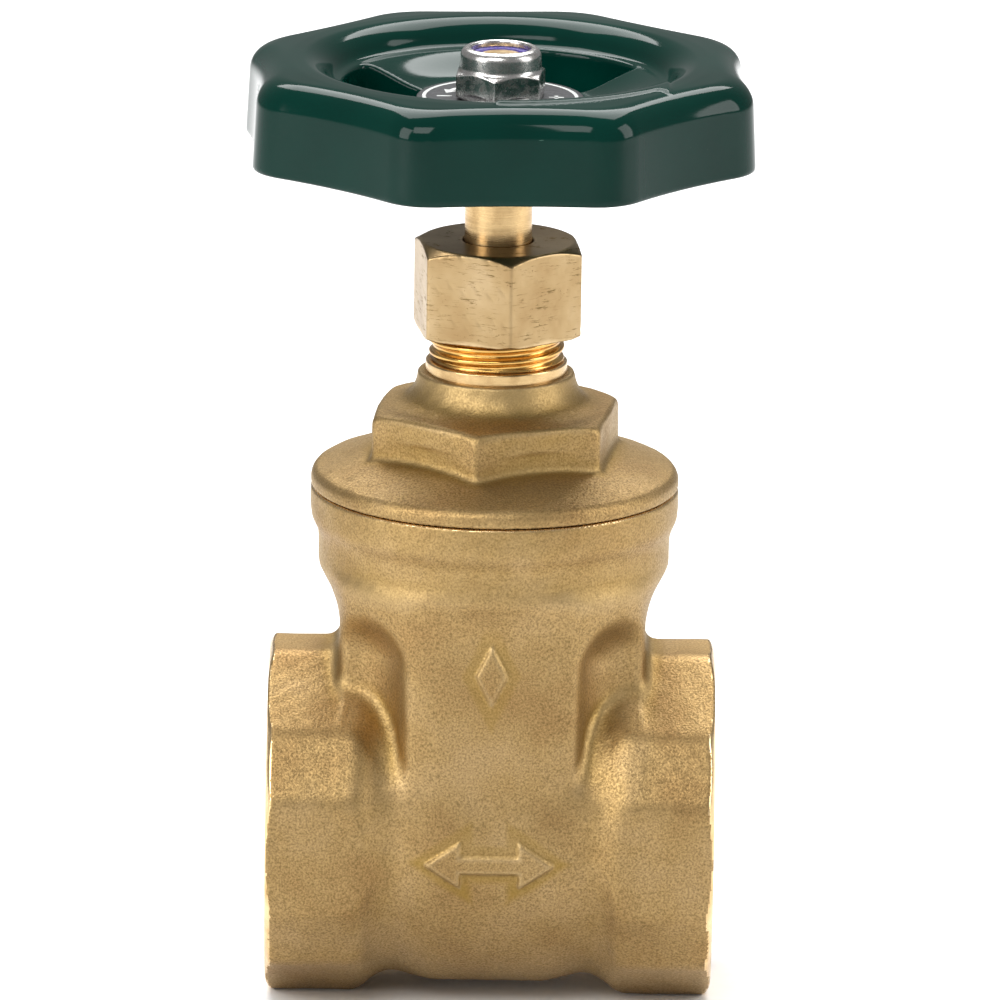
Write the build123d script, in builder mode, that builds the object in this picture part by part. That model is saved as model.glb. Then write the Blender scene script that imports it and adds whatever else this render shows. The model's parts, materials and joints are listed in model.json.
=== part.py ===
from build123d import *
import os
from math import cos, radians, sin, sqrt, tan

# Gate valve, DN 25, with female pipe ends and a non-rising stem.
# Frame: Z up along the stem, X along the flow, the marked face looks towards -Y.
# The origin is on the standing surface, under the stem.

# Body, end to end and port axis
HALF_LENGTH = 26.75
PORT_Z = 21.2
END_ACROSS_FLATS = 41.0
END_FACET_RADIUS = 21.2      # the hexagon's corners are cut off at this distance from the port axis
END_INNER_X = 12.6           # where the end block starts on the barrel
END_BLOCK_X = 16.4           # where the end block has its full width
END_FACE_RADIUS = 20.4
END_MAX_RADIUS = 22.4
FACE_CHAMFER_ANGLE = 30.0
BARREL_RADIUS = 20.0
BARREL_NECK_RADIUS = 18.7
BARREL_NECK_X = 13.0
BARREL_FLAT_X = 8.0

# Neck between the ports and the bonnet
NECK_HALF_X = 18.25
NECK_HALF_Y = 19.9
NECK_TOP_Z = 52.7
NECK_RADIUS = 21.0
SCOOP_RADIUS = 7.5
SCOOP_Y = 17.5
SCOOP_TOP_Z = 44.5
RIM_RADIUS = 22.0
RIM_BOTTOM_Z = 59.1
RIM_STEP_Z = 56.2
NECK_TAPER_Z = 49.0
SEAM_Z = 62.4

# Ports and seats
PORT_BORE_RADIUS = 15.15     # minor radius of the G 1 pipe thread
PORT_BORE_DEPTH = 13.0
PORT_MOUTH_RADIUS = 16.9
FLOW_RADIUS = 12.0
SEAT_ANGLE = 5.0
SEAT_HALF_GAP = 5.53
SEAT_RADIUS = 14.5
CHAMBER_HALF_X = 8.0
CHAMBER_RADIUS = 16.0
GUIDE_WIDTH = 3.0
GUIDE_INNER_Y = 13.2
GUIDE_BOTTOM_Z = 19.0
GUIDE_TOP_Z = 53.0

# Wedge
WEDGE_RADIUS = 14.0
WEDGE_HALF_THICKNESS = 5.5
WEDGE_SLOT_WIDTH = 3.5
WEDGE_SLOT_Y = 12.9
BOSS_RADIUS = 6.6
BOSS_TOP_Z = PORT_Z + 16.5
WEDGE_BORE_RADIUS = 4.56
WEDGE_BORE_BOTTOM_Z = PORT_Z - 13.4

# Bonnet
PLUG_RADIUS = 18.95
PLUG_BORE_RADIUS = 19.0
PLUG_BOTTOM_Z = 54.4
CAVITY_RADIUS = 15.5
CAVITY_SHOULDER_Z = 61.5
CAVITY_NECK_RADIUS = 8.5
CAVITY_NECK_Z = 64.6
CAVITY_TOP_Z = 66.6
FLANGE_EDGE_RADIUS = 22.0
FLANGE_TOP_RADIUS = 21.4
FLANGE_TOP_Z = 64.2
BONNET_HEX_Z = 66.3
BONNET_HEX_TOP_Z = 72.3
BONNET_HEX_RADIUS = 15.9
BONNET_HEX_TURN = 21.7
HEX_SHOULDER_RADIUS = 14.2
GLAND_NECK_RADIUS = 9.1
GLAND_NECK_Z = 76.4
GLAND_COLLAR_RADIUS = 8.45
GLAND_COLLAR_TOP_Z = 77.8
GLAND_THREAD_RADIUS = 8.1
GLAND_THREAD_TOP_Z = 88.0
STEM_BORE_RADIUS = 4.56
BOX_RADIUS = 6.0
BOX_FLOOR_Z = 73.2

# Gasket
GASKET_INNER_RADIUS = 19.05
GASKET_OUTER_RADIUS = 20.6
GASKET_THICKNESS = 0.8

# Stem
STEM_RADIUS = 4.02
STEM_THREAD_RADIUS = 4.5
STEM_BOTTOM_Z = PORT_Z + 13.0
STEM_COLLAR_RADIUS = 5.9
STEM_COLLAR_HEIGHT = 2.4
STEM_COLLAR_PLAY = 0.05
STEM_SHOULDER_Z = 103.2
STEM_SQUARE = 6.0
STEM_SQUARE_TOP_Z = 109.2
STEM_END_RADIUS = 2.95
STEM_TOP_Z = 115.0

# Packing and gland
WASHER_THICKNESS = 1.0
WASHER_Z = BOX_FLOOR_Z + STEM_COLLAR_PLAY + STEM_COLLAR_HEIGHT + STEM_COLLAR_PLAY
PACKING_Z = WASHER_Z + WASHER_THICKNESS
PACKING_HEIGHT = 2.6
PACKING_NAMES = ("packing_ring_lower", "packing_ring_middle", "packing_ring_upper")
PACKING_INNER_RADIUS = STEM_RADIUS + 0.04
FOLLOWER_Z = PACKING_Z + len(PACKING_NAMES) * PACKING_HEIGHT
FOLLOWER_RADIUS = 5.94
FOLLOWER_BORE_RADIUS = 4.08
FOLLOWER_HEAD_RADIUS = 7.4
FOLLOWER_HEAD_Z = 89.3
FOLLOWER_TOP_Z = 90.2
GLAND_NUT_BOTTOM_Z = 81.3
GLAND_NUT_TOP_Z = 92.4
GLAND_NUT_RADIUS = 10.75
GLAND_NUT_TURN = 38.9
GLAND_NUT_FACE_RADIUS = 9.1
GLAND_NUT_BORE_RADIUS = 8.15
GLAND_NUT_HOLE_RADIUS = 4.25

# Handwheel
WHEEL_BOTTOM_Z = 103.2
WHEEL_TOP_Z = 114.5
WHEEL_CORNERS = 8
WHEEL_CORNER_RADIUS = 32.9
WHEEL_SIDE_RADIUS = 29.3
WHEEL_TURN = 26.0
WHEEL_CORNER_ROUND = 7.0
WHEEL_OUTER_ROUND = 4.0
WHEEL_INNER_ROUND = 2.4
WHEEL_OPENING_RADIUS = 20.6
WHEEL_WALL = 2.2
WHEEL_INNER_WALL_RADIUS = 18.9
WHEEL_CHANNEL_TOP_Z = 112.0
WEB_TOP_Z = 109.3
WEB_BOTTOM_Z = 106.9
SPOKE_COUNT = 3
WINDOW_ANGLE = 60.0
WINDOW_INNER_RADIUS = 10.4
HUB_RADIUS = 7.0

# Nameplate and lock nut
PLATE_RADIUS = 10.0
PLATE_THICKNESS = 0.5
PLATE_HOLE_RADIUS = 3.2
NUT_BOTTOM_Z = WEB_TOP_Z + PLATE_THICKNESS
NUT_ACROSS_FLATS = 10.0
NUT_HEX_TOP_Z = NUT_BOTTOM_Z + 3.4
NUT_HEIGHT = 6.1
NUT_COLLAR_RADIUS = 4.55
NUT_CHAMFER_RADIUS = 4.9
NUT_BORE_RADIUS = 3.0
NUT_MOUTH_RADIUS = 3.55
NUT_TURN = 23.0
INSERT_OUTER_RADIUS = 4.0
INSERT_BOTTOM_Z = NUT_BOTTOM_Z + 3.7
INSERT_TOP_Z = NUT_BOTTOM_Z + 5.3

# Raised marks on the marked face
MARK_FACE_Y = 19.0
MARK_HEIGHT = 1.45
LOZENGE_WIDTH = 4.0
LOZENGE_HEIGHT = 8.0
LOZENGE_Z = 43.7
ARROW_LENGTH = 15.8
ARROW_HEAD = 4.4
ARROW_HEIGHT = 5.6
ARROW_BAR = 2.0
ARROW_Z = 20.5

CUT_MARGIN = 1.0
PORT_PLANE = Plane(origin=(0, 0, PORT_Z), x_dir=(0, 1, 0), z_dir=(1, 0, 0))
PORT_AXIS = Axis((0, 0, PORT_Z), (1, 0, 0))
SIDES = (-1, 1)

os.makedirs("parts", exist_ok=True)


def save(builder, name):
    """Label a finished piece and write it as its own STEP file."""
    builder.part.label = name
    export_step(builder.part, f"parts/{name}.step")


# Hexagon ends: a prism with its corners faceted, then turned on both sides
with BuildPart() as hex_ends:
    with BuildSketch(PORT_PLANE):
        RegularPolygon(END_ACROSS_FLATS / 2, 6, major_radius=False, rotation=30)
        RegularPolygon(END_FACET_RADIUS, 6, major_radius=False, mode=Mode.INTERSECT)
    extrude(amount=HALF_LENGTH, both=True)
    face_back = (END_MAX_RADIUS - END_FACE_RADIUS) * tan(radians(FACE_CHAMFER_ANGLE))
    with BuildSketch(Plane.XZ):
        for side in SIDES:
            with BuildLine():
                Polyline(
                    (side * END_INNER_X, PORT_Z),
                    (side * END_INNER_X, PORT_Z + BARREL_NECK_RADIUS - CUT_MARGIN / 2),
                    (side * END_BLOCK_X, PORT_Z + END_MAX_RADIUS),
                    (side * (HALF_LENGTH - face_back), PORT_Z + END_MAX_RADIUS),
                    (side * HALF_LENGTH, PORT_Z + END_FACE_RADIUS),
                    (side * HALF_LENGTH, PORT_Z),
                    close=True,
                )
            make_face()
    revolve(axis=PORT_AXIS, mode=Mode.INTERSECT)

# Cutter for the wedge chamber: a round-bottomed slot, less the two tapered seats
with BuildPart() as chamber:
    with BuildSketch(PORT_PLANE):
        Circle(CHAMBER_RADIUS)
        with Locations((0, (PLUG_BOTTOM_Z - PORT_Z) / 2)):
            Rectangle(2 * CHAMBER_RADIUS, PLUG_BOTTOM_Z - PORT_Z)
    extrude(amount=CHAMBER_HALF_X, both=True)
    for side in SIDES:
        seat_plane = Plane(
            origin=(side * SEAT_HALF_GAP, 0, PORT_Z),
            x_dir=(0, 1, 0),
            z_dir=(side * cos(radians(SEAT_ANGLE)), 0, -sin(radians(SEAT_ANGLE))),
        )
        with BuildSketch(seat_plane):
            Circle(SEAT_RADIUS)
        extrude(amount=CHAMBER_HALF_X, mode=Mode.SUBTRACT)

with BuildPart() as valve_body:
    # Barrel around the flow
    with BuildSketch(Plane.XZ):
        with BuildLine():
            Polyline((-BARREL_NECK_X, PORT_Z), (-BARREL_NECK_X, PORT_Z + BARREL_NECK_RADIUS))
            Spline(
                (-BARREL_NECK_X, PORT_Z + BARREL_NECK_RADIUS),
                (-BARREL_FLAT_X, PORT_Z + BARREL_RADIUS),
                tangents=((1, 0), (1, 0)),
            )
            Line((-BARREL_FLAT_X, PORT_Z + BARREL_RADIUS), (BARREL_FLAT_X, PORT_Z + BARREL_RADIUS))
            Spline(
                (BARREL_FLAT_X, PORT_Z + BARREL_RADIUS),
                (BARREL_NECK_X, PORT_Z + BARREL_NECK_RADIUS),
                tangents=((1, 0), (1, 0)),
            )
            Polyline(
                (BARREL_NECK_X, PORT_Z + BARREL_NECK_RADIUS),
                (BARREL_NECK_X, PORT_Z),
                (-BARREL_NECK_X, PORT_Z),
            )
        make_face()
    revolve(axis=PORT_AXIS)
    add(hex_ends.part)

    # Neck: a flat-sided column with a scoop down each corner
    with BuildSketch(Plane.XY.offset(PORT_Z)):
        Rectangle(2 * NECK_HALF_X, 2 * NECK_HALF_Y)
        Circle(NECK_RADIUS, mode=Mode.INTERSECT)
        with GridLocations(2 * NECK_HALF_X, 2 * SCOOP_Y, 2, 2):
            Circle(SCOOP_RADIUS, mode=Mode.SUBTRACT)
    extrude(amount=SCOOP_TOP_Z - PORT_Z)

    # Neck above the scoops, rim and seam face
    with BuildSketch(Plane.XZ):
        with BuildLine():
            Polyline((0, SCOOP_TOP_Z), (0, SEAM_Z), (RIM_RADIUS, SEAM_Z), (RIM_RADIUS, RIM_BOTTOM_Z))
            Spline(
                (RIM_RADIUS, RIM_BOTTOM_Z),
                (NECK_RADIUS, RIM_STEP_Z),
                tangents=((0, -1), (0, -1)),
            )
            Polyline(
                (NECK_RADIUS, RIM_STEP_Z),
                (NECK_RADIUS, NECK_TOP_Z),
                (NECK_HALF_X, NECK_TAPER_Z),
                (CHAMBER_RADIUS, SCOOP_TOP_Z),
                (0, SCOOP_TOP_Z),
            )
        make_face()
    revolve(axis=Axis.Z)

    # Sides of the neck up to the taper
    with BuildSketch(Plane.XY.offset(SCOOP_TOP_Z)):
        Rectangle(2 * NECK_HALF_X, 2 * SCOOP_RADIUS)
        Rectangle(2 * (NECK_HALF_X - SCOOP_RADIUS), 2 * NECK_HALF_Y)
    extrude(amount=NECK_TAPER_Z - SCOOP_TOP_Z)

    # Bore for the bonnet's plug, with the gasket's recess
    with Locations((0, 0, SEAM_Z)):
        CounterBoreHole(
            PLUG_BORE_RADIUS,
            GASKET_OUTER_RADIUS,
            GASKET_THICKNESS,
            depth=SEAM_Z - PLUG_BOTTOM_Z,
        )
    add(chamber.part, mode=Mode.SUBTRACT)

    # Threaded ports, the flow bore and the chamfered mouths
    with BuildSketch(PORT_PLANE):
        Circle(FLOW_RADIUS)
    extrude(amount=HALF_LENGTH, both=True, mode=Mode.SUBTRACT)
    for side in SIDES:
        with BuildSketch(Plane.XZ):
            with BuildLine():
                Polyline(
                    (side * (HALF_LENGTH - PORT_BORE_DEPTH), PORT_Z),
                    (side * (HALF_LENGTH - PORT_BORE_DEPTH), PORT_Z + PORT_BORE_RADIUS),
                    (side * (HALF_LENGTH - PORT_MOUTH_RADIUS + PORT_BORE_RADIUS), PORT_Z + PORT_BORE_RADIUS),
                    (side * HALF_LENGTH, PORT_Z + PORT_MOUTH_RADIUS),
                    (side * HALF_LENGTH, PORT_Z),
                    close=True,
                )
            make_face()
        revolve(axis=PORT_AXIS, mode=Mode.SUBTRACT)

    # Guide ribs that the wedge's slots run on
    for side in SIDES:
        with Locations((0, side * (GUIDE_INNER_Y + CHAMBER_RADIUS + CUT_MARGIN) / 2, GUIDE_BOTTOM_Z)):
            Box(
                GUIDE_WIDTH,
                CHAMBER_RADIUS + CUT_MARGIN - GUIDE_INNER_Y,
                GUIDE_TOP_Z - GUIDE_BOTTOM_Z,
                align=(Align.CENTER, Align.CENTER, Align.MIN),
            )

    # Raised lozenge and double-headed flow arrow
    mark_plane = Plane(origin=(0, -MARK_FACE_Y, 0), x_dir=(1, 0, 0), z_dir=(0, -1, 0))
    with BuildSketch(mark_plane):
        with BuildLine():
            Polyline(
                (-LOZENGE_WIDTH / 2, LOZENGE_Z),
                (0, LOZENGE_Z + LOZENGE_HEIGHT / 2),
                (LOZENGE_WIDTH / 2, LOZENGE_Z),
                (0, LOZENGE_Z - LOZENGE_HEIGHT / 2),
                close=True,
            )
        make_face()
        with Locations((0, ARROW_Z)):
            Rectangle(ARROW_LENGTH - 2 * ARROW_HEAD, ARROW_BAR)
        for side in SIDES:
            with BuildLine():
                Polyline(
                    (side * ARROW_LENGTH / 2, ARROW_Z),
                    (side * (ARROW_LENGTH / 2 - ARROW_HEAD), ARROW_Z + ARROW_HEIGHT / 2),
                    (side * (ARROW_LENGTH / 2 - ARROW_HEAD), ARROW_Z - ARROW_HEIGHT / 2),
                    close=True,
                )
            make_face()
    extrude(amount=MARK_HEIGHT)
save(valve_body, "valve_body")

with BuildPart() as wedge_gate:
    with BuildSketch(PORT_PLANE):
        Circle(WEDGE_RADIUS)
    extrude(amount=CHAMBER_HALF_X, both=True)
    # Faces tapered at the seat angle, thicker at the top
    with BuildSketch(Plane.XZ):
        slope = tan(radians(SEAT_ANGLE))
        foot = WEDGE_HALF_THICKNESS - WEDGE_RADIUS * slope
        crown = WEDGE_HALF_THICKNESS + WEDGE_RADIUS * slope
        with BuildLine():
            Polyline(
                (-foot, PORT_Z - WEDGE_RADIUS),
                (foot, PORT_Z - WEDGE_RADIUS),
                (crown, PORT_Z + WEDGE_RADIUS),
                (-crown, PORT_Z + WEDGE_RADIUS),
                close=True,
            )
        make_face()
    extrude(amount=WEDGE_RADIUS + CUT_MARGIN, both=True, mode=Mode.INTERSECT)
    with BuildSketch(Plane.XY.offset(PORT_Z)):
        Circle(BOSS_RADIUS)
        Rectangle(2 * WEDGE_HALF_THICKNESS, 2 * BOSS_RADIUS, mode=Mode.INTERSECT)
    extrude(amount=BOSS_TOP_Z - PORT_Z)
    # Slots for the guide ribs
    for side in SIDES:
        with Locations((0, side * (WEDGE_SLOT_Y + WEDGE_RADIUS) / 2, PORT_Z)):
            Box(WEDGE_SLOT_WIDTH, WEDGE_RADIUS - WEDGE_SLOT_Y, 2 * WEDGE_RADIUS, mode=Mode.SUBTRACT)
    with Locations((0, 0, BOSS_TOP_Z)):
        Hole(WEDGE_BORE_RADIUS, depth=BOSS_TOP_Z - WEDGE_BORE_BOTTOM_Z)
save(wedge_gate, "wedge_gate")

# Bonnet hexagon, its corners turned down at the top
with BuildPart() as bonnet_hex:
    with BuildSketch(Plane.XY.offset(FLANGE_TOP_Z)):
        RegularPolygon(BONNET_HEX_RADIUS, 6, rotation=BONNET_HEX_TURN)
    extrude(amount=BONNET_HEX_TOP_Z - FLANGE_TOP_Z)
    with BuildSketch(Plane.XZ):
        corner_drop = (BONNET_HEX_RADIUS - HEX_SHOULDER_RADIUS) * tan(radians(FACE_CHAMFER_ANGLE))
        with BuildLine():
            Polyline(
                (0, FLANGE_TOP_Z),
                (BONNET_HEX_RADIUS, FLANGE_TOP_Z),
                (BONNET_HEX_RADIUS, BONNET_HEX_TOP_Z - corner_drop),
                (HEX_SHOULDER_RADIUS, BONNET_HEX_TOP_Z),
                (0, BONNET_HEX_TOP_Z),
                close=True,
            )
        make_face()
    revolve(axis=Axis.Z, mode=Mode.INTERSECT)

with BuildPart() as bonnet:
    # Plug, flange, conical top, flare, collar and gland thread
    with BuildSketch(Plane.XZ):
        with BuildLine():
            Polyline(
                (0, PLUG_BOTTOM_Z),
                (PLUG_RADIUS, PLUG_BOTTOM_Z),
                (PLUG_RADIUS, SEAM_Z),
                (FLANGE_EDGE_RADIUS, SEAM_Z),
                (FLANGE_TOP_RADIUS, FLANGE_TOP_Z),
                (BONNET_HEX_RADIUS, BONNET_HEX_Z),
                (HEX_SHOULDER_RADIUS - CUT_MARGIN, BONNET_HEX_TOP_Z),
            )
            Spline(
                (HEX_SHOULDER_RADIUS - CUT_MARGIN, BONNET_HEX_TOP_Z),
                (GLAND_NECK_RADIUS, GLAND_NECK_Z),
                tangents=((-1, 0.2), (0, 1)),
            )
            Polyline(
                (GLAND_NECK_RADIUS, GLAND_NECK_Z),
                (GLAND_COLLAR_RADIUS, GLAND_NECK_Z),
                (GLAND_COLLAR_RADIUS, GLAND_COLLAR_TOP_Z),
                (GLAND_THREAD_RADIUS, GLAND_COLLAR_TOP_Z),
                (GLAND_THREAD_RADIUS, GLAND_THREAD_TOP_Z),
                (0, GLAND_THREAD_TOP_Z),
                (0, PLUG_BOTTOM_Z),
            )
        make_face()
    revolve(axis=Axis.Z)
    add(bonnet_hex.part)

    # Cavity that the open wedge rises into, stem bore and stuffing box
    with BuildSketch(Plane.XZ):
        with BuildLine():
            Polyline(
                (0, PLUG_BOTTOM_Z),
                (CAVITY_RADIUS, PLUG_BOTTOM_Z),
                (CAVITY_RADIUS, CAVITY_SHOULDER_Z),
                (CAVITY_NECK_RADIUS, CAVITY_NECK_Z),
                (CAVITY_NECK_RADIUS, CAVITY_TOP_Z),
                (STEM_BORE_RADIUS, CAVITY_TOP_Z),
                (STEM_BORE_RADIUS, BOX_FLOOR_Z),
                (BOX_RADIUS, BOX_FLOOR_Z),
                (BOX_RADIUS, GLAND_THREAD_TOP_Z),
                (0, GLAND_THREAD_TOP_Z),
                close=True,
            )
        make_face()
    revolve(axis=Axis.Z, mode=Mode.SUBTRACT)
save(bonnet, "bonnet")

with BuildPart() as bonnet_gasket:
    with BuildSketch(Plane.XY.offset(SEAM_Z - GASKET_THICKNESS)):
        Circle(GASKET_OUTER_RADIUS)
        Circle(GASKET_INNER_RADIUS, mode=Mode.SUBTRACT)
    extrude(amount=GASKET_THICKNESS)
save(bonnet_gasket, "bonnet_gasket")

with BuildPart() as stem:
    collar_z = BOX_FLOOR_Z + STEM_COLLAR_PLAY
    with BuildSketch(Plane.XZ):
        with BuildLine():
            Polyline(
                (0, STEM_BOTTOM_Z),
                (STEM_THREAD_RADIUS - CUT_MARGIN, STEM_BOTTOM_Z),
                (STEM_THREAD_RADIUS, STEM_BOTTOM_Z + CUT_MARGIN),
                (STEM_THREAD_RADIUS, collar_z),
                (STEM_COLLAR_RADIUS, collar_z),
                (STEM_COLLAR_RADIUS, collar_z + STEM_COLLAR_HEIGHT),
                (STEM_RADIUS, collar_z + STEM_COLLAR_HEIGHT),
                (STEM_RADIUS, STEM_SHOULDER_Z),
                (STEM_END_RADIUS, STEM_SHOULDER_Z),
                (STEM_END_RADIUS, STEM_TOP_Z - CUT_MARGIN / 2),
                (STEM_END_RADIUS - CUT_MARGIN / 2, STEM_TOP_Z),
                (0, STEM_TOP_Z),
                close=True,
            )
        make_face()
    revolve(axis=Axis.Z)
    # Square that drives the handwheel
    with BuildSketch(Plane.XY.offset(STEM_SHOULDER_Z)):
        Rectangle(STEM_SQUARE, STEM_SQUARE)
        Circle(STEM_RADIUS - CUT_MARGIN / 4, mode=Mode.INTERSECT)
    extrude(amount=STEM_SQUARE_TOP_Z - STEM_SHOULDER_Z)
save(stem, "stem")

with BuildPart() as collar_washer:
    with BuildSketch(Plane.XY.offset(WASHER_Z)):
        Circle(FOLLOWER_RADIUS)
        Circle(FOLLOWER_BORE_RADIUS, mode=Mode.SUBTRACT)
    extrude(amount=WASHER_THICKNESS)
save(collar_washer, "collar_washer")

for ring_number, ring_name in enumerate(PACKING_NAMES):
    with BuildPart() as packing_ring:
        with BuildSketch(Plane.XY.offset(PACKING_Z + ring_number * PACKING_HEIGHT)):
            Circle(FOLLOWER_RADIUS)
            Circle(PACKING_INNER_RADIUS, mode=Mode.SUBTRACT)
        extrude(amount=PACKING_HEIGHT)
    save(packing_ring, ring_name)

with BuildPart() as gland_follower:
    with BuildSketch(Plane.XZ):
        with BuildLine():
            Polyline(
                (FOLLOWER_BORE_RADIUS, FOLLOWER_Z),
                (FOLLOWER_RADIUS, FOLLOWER_Z),
                (FOLLOWER_RADIUS, FOLLOWER_HEAD_Z),
                (FOLLOWER_HEAD_RADIUS, FOLLOWER_HEAD_Z),
                (FOLLOWER_HEAD_RADIUS, FOLLOWER_TOP_Z),
                (FOLLOWER_BORE_RADIUS, FOLLOWER_TOP_Z),
                close=True,
            )
        make_face()
    revolve(axis=Axis.Z)
save(gland_follower, "gland_follower")

with BuildPart() as gland_nut:
    with BuildSketch(Plane.XY.offset(GLAND_NUT_BOTTOM_Z)):
        RegularPolygon(GLAND_NUT_RADIUS, 6, rotation=GLAND_NUT_TURN)
    extrude(amount=GLAND_NUT_TOP_Z - GLAND_NUT_BOTTOM_Z)
    with BuildSketch(Plane.XZ):
        corner_drop = (GLAND_NUT_RADIUS - GLAND_NUT_FACE_RADIUS) * tan(radians(FACE_CHAMFER_ANGLE))
        with BuildLine():
            Polyline(
                (0, GLAND_NUT_BOTTOM_Z),
                (GLAND_NUT_RADIUS, GLAND_NUT_BOTTOM_Z),
                (GLAND_NUT_RADIUS, GLAND_NUT_TOP_Z - corner_drop),
                (GLAND_NUT_FACE_RADIUS, GLAND_NUT_TOP_Z),
                (0, GLAND_NUT_TOP_Z),
                close=True,
            )
        make_face()
    revolve(axis=Axis.Z, mode=Mode.INTERSECT)
    with Locations((0, 0, GLAND_NUT_TOP_Z)):
        Hole(GLAND_NUT_HOLE_RADIUS)
    with Locations(Location((0, 0, GLAND_NUT_BOTTOM_Z), (180, 0, 0))):
        Hole(GLAND_NUT_BORE_RADIUS, depth=FOLLOWER_TOP_Z - GLAND_NUT_BOTTOM_Z)
save(gland_nut, "gland_nut")

with BuildPart() as handwheel:
    # Octagon with rounded corners and slightly hollow sides
    step = 360 / WHEEL_CORNERS
    with BuildSketch(Plane.XY.offset(WHEEL_BOTTOM_Z)) as wheel_outline:
        with BuildLine():
            for corner in range(WHEEL_CORNERS):
                angle = WHEEL_TURN + corner * step
                ThreePointArc(
                    (WHEEL_CORNER_RADIUS * cos(radians(angle)), WHEEL_CORNER_RADIUS * sin(radians(angle))),
                    (
                        WHEEL_SIDE_RADIUS * cos(radians(angle + step / 2)),
                        WHEEL_SIDE_RADIUS * sin(radians(angle + step / 2)),
                    ),
                    (
                        WHEEL_CORNER_RADIUS * cos(radians(angle + step)),
                        WHEEL_CORNER_RADIUS * sin(radians(angle + step)),
                    ),
                )
        make_face()
        fillet(wheel_outline.vertices(), WHEEL_CORNER_ROUND)
    extrude(amount=WHEEL_TOP_Z - WHEEL_BOTTOM_Z)
    fillet(handwheel.edges().group_by(Axis.Z)[-1], WHEEL_OUTER_ROUND)
    # Opening inside the rim, down to the web
    with Locations((0, 0, WHEEL_TOP_Z)):
        Hole(WHEEL_OPENING_RADIUS, depth=WHEEL_TOP_Z - WEB_TOP_Z)
    rim_crest = handwheel.edges().filter_by(GeomType.CIRCLE).group_by(Axis.Z)[-1]
    fillet(rim_crest, WHEEL_INNER_ROUND)
    # Hollow underside: the channel in the rim and the space around the hub
    with BuildSketch(Plane.XY.offset(WHEEL_BOTTOM_Z)):
        Circle(WHEEL_SIDE_RADIUS - WHEEL_WALL)
        Circle(WHEEL_OPENING_RADIUS + CUT_MARGIN, mode=Mode.SUBTRACT)
    extrude(amount=WHEEL_CHANNEL_TOP_Z - WHEEL_BOTTOM_Z, mode=Mode.SUBTRACT)
    with BuildSketch(Plane.XY.offset(WHEEL_BOTTOM_Z)):
        Circle(WHEEL_INNER_WALL_RADIUS)
        Circle(HUB_RADIUS, mode=Mode.SUBTRACT)
    extrude(amount=WEB_BOTTOM_Z - WHEEL_BOTTOM_Z, mode=Mode.SUBTRACT)
    # Windows between the spokes, one of them looking towards -X
    with BuildSketch(Plane.XY.offset(WEB_BOTTOM_Z)):
        for spoke in range(SPOKE_COUNT):
            start = WINDOW_ANGLE / 2 + spoke * 360 / SPOKE_COUNT
            with BuildLine():
                CenterArc((0, 0), WHEEL_INNER_WALL_RADIUS, start, WINDOW_ANGLE)
                CenterArc((0, 0), WINDOW_INNER_RADIUS, start, WINDOW_ANGLE)
                for edge_angle in (radians(start), radians(start + WINDOW_ANGLE)):
                    Line(
                        (WINDOW_INNER_RADIUS * cos(edge_angle), WINDOW_INNER_RADIUS * sin(edge_angle)),
                        (WHEEL_INNER_WALL_RADIUS * cos(edge_angle), WHEEL_INNER_WALL_RADIUS * sin(edge_angle)),
                    )
            make_face()
    extrude(amount=WEB_TOP_Z - WEB_BOTTOM_Z, mode=Mode.SUBTRACT)
    # Square hole for the stem
    with BuildSketch(Plane.XY.offset(WHEEL_BOTTOM_Z)):
        Rectangle(STEM_SQUARE, STEM_SQUARE)
        Circle(STEM_RADIUS - CUT_MARGIN / 4, mode=Mode.INTERSECT)
    extrude(amount=WEB_TOP_Z - WHEEL_BOTTOM_Z, mode=Mode.SUBTRACT)
save(handwheel, "handwheel")

with BuildPart() as nameplate:
    with BuildSketch(Plane.XY.offset(WEB_TOP_Z)):
        Circle(PLATE_RADIUS)
        Circle(PLATE_HOLE_RADIUS, mode=Mode.SUBTRACT)
    extrude(amount=PLATE_THICKNESS)
save(nameplate, "nameplate")

with BuildPart() as lock_nut:
    # Hexagon and rolled collar, turned to one profile
    with BuildSketch(Plane.XY.offset(NUT_BOTTOM_Z)):
        RegularPolygon(NUT_ACROSS_FLATS / 2, 6, major_radius=False, rotation=NUT_TURN)
    extrude(amount=NUT_HEIGHT)
    with BuildSketch(Plane.XZ):
        corner_radius = NUT_ACROSS_FLATS / sqrt(3)
        with BuildLine():
            Polyline(
                (NUT_BORE_RADIUS, NUT_BOTTOM_Z),
                (NUT_CHAMFER_RADIUS, NUT_BOTTOM_Z),
                (corner_radius, NUT_BOTTOM_Z + (corner_radius - NUT_CHAMFER_RADIUS) / 2),
                (corner_radius, NUT_HEX_TOP_Z - CUT_MARGIN / 2),
                (NUT_COLLAR_RADIUS, NUT_HEX_TOP_Z),
            )
            ThreePointArc(
                (NUT_COLLAR_RADIUS, NUT_HEX_TOP_Z),
                (NUT_COLLAR_RADIUS - 0.25, NUT_BOTTOM_Z + NUT_HEIGHT - 0.6),
                (NUT_MOUTH_RADIUS + 0.25, NUT_BOTTOM_Z + NUT_HEIGHT),
            )
            Polyline(
                (NUT_MOUTH_RADIUS + 0.25, NUT_BOTTOM_Z + NUT_HEIGHT),
                (NUT_MOUTH_RADIUS, INSERT_TOP_Z),
                (INSERT_OUTER_RADIUS, INSERT_TOP_Z),
                (INSERT_OUTER_RADIUS, INSERT_BOTTOM_Z),
                (NUT_BORE_RADIUS, INSERT_BOTTOM_Z),
                (NUT_BORE_RADIUS, NUT_BOTTOM_Z),
            )
        make_face()
    revolve(axis=Axis.Z, mode=Mode.INTERSECT)
save(lock_nut, "lock_nut")

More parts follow.
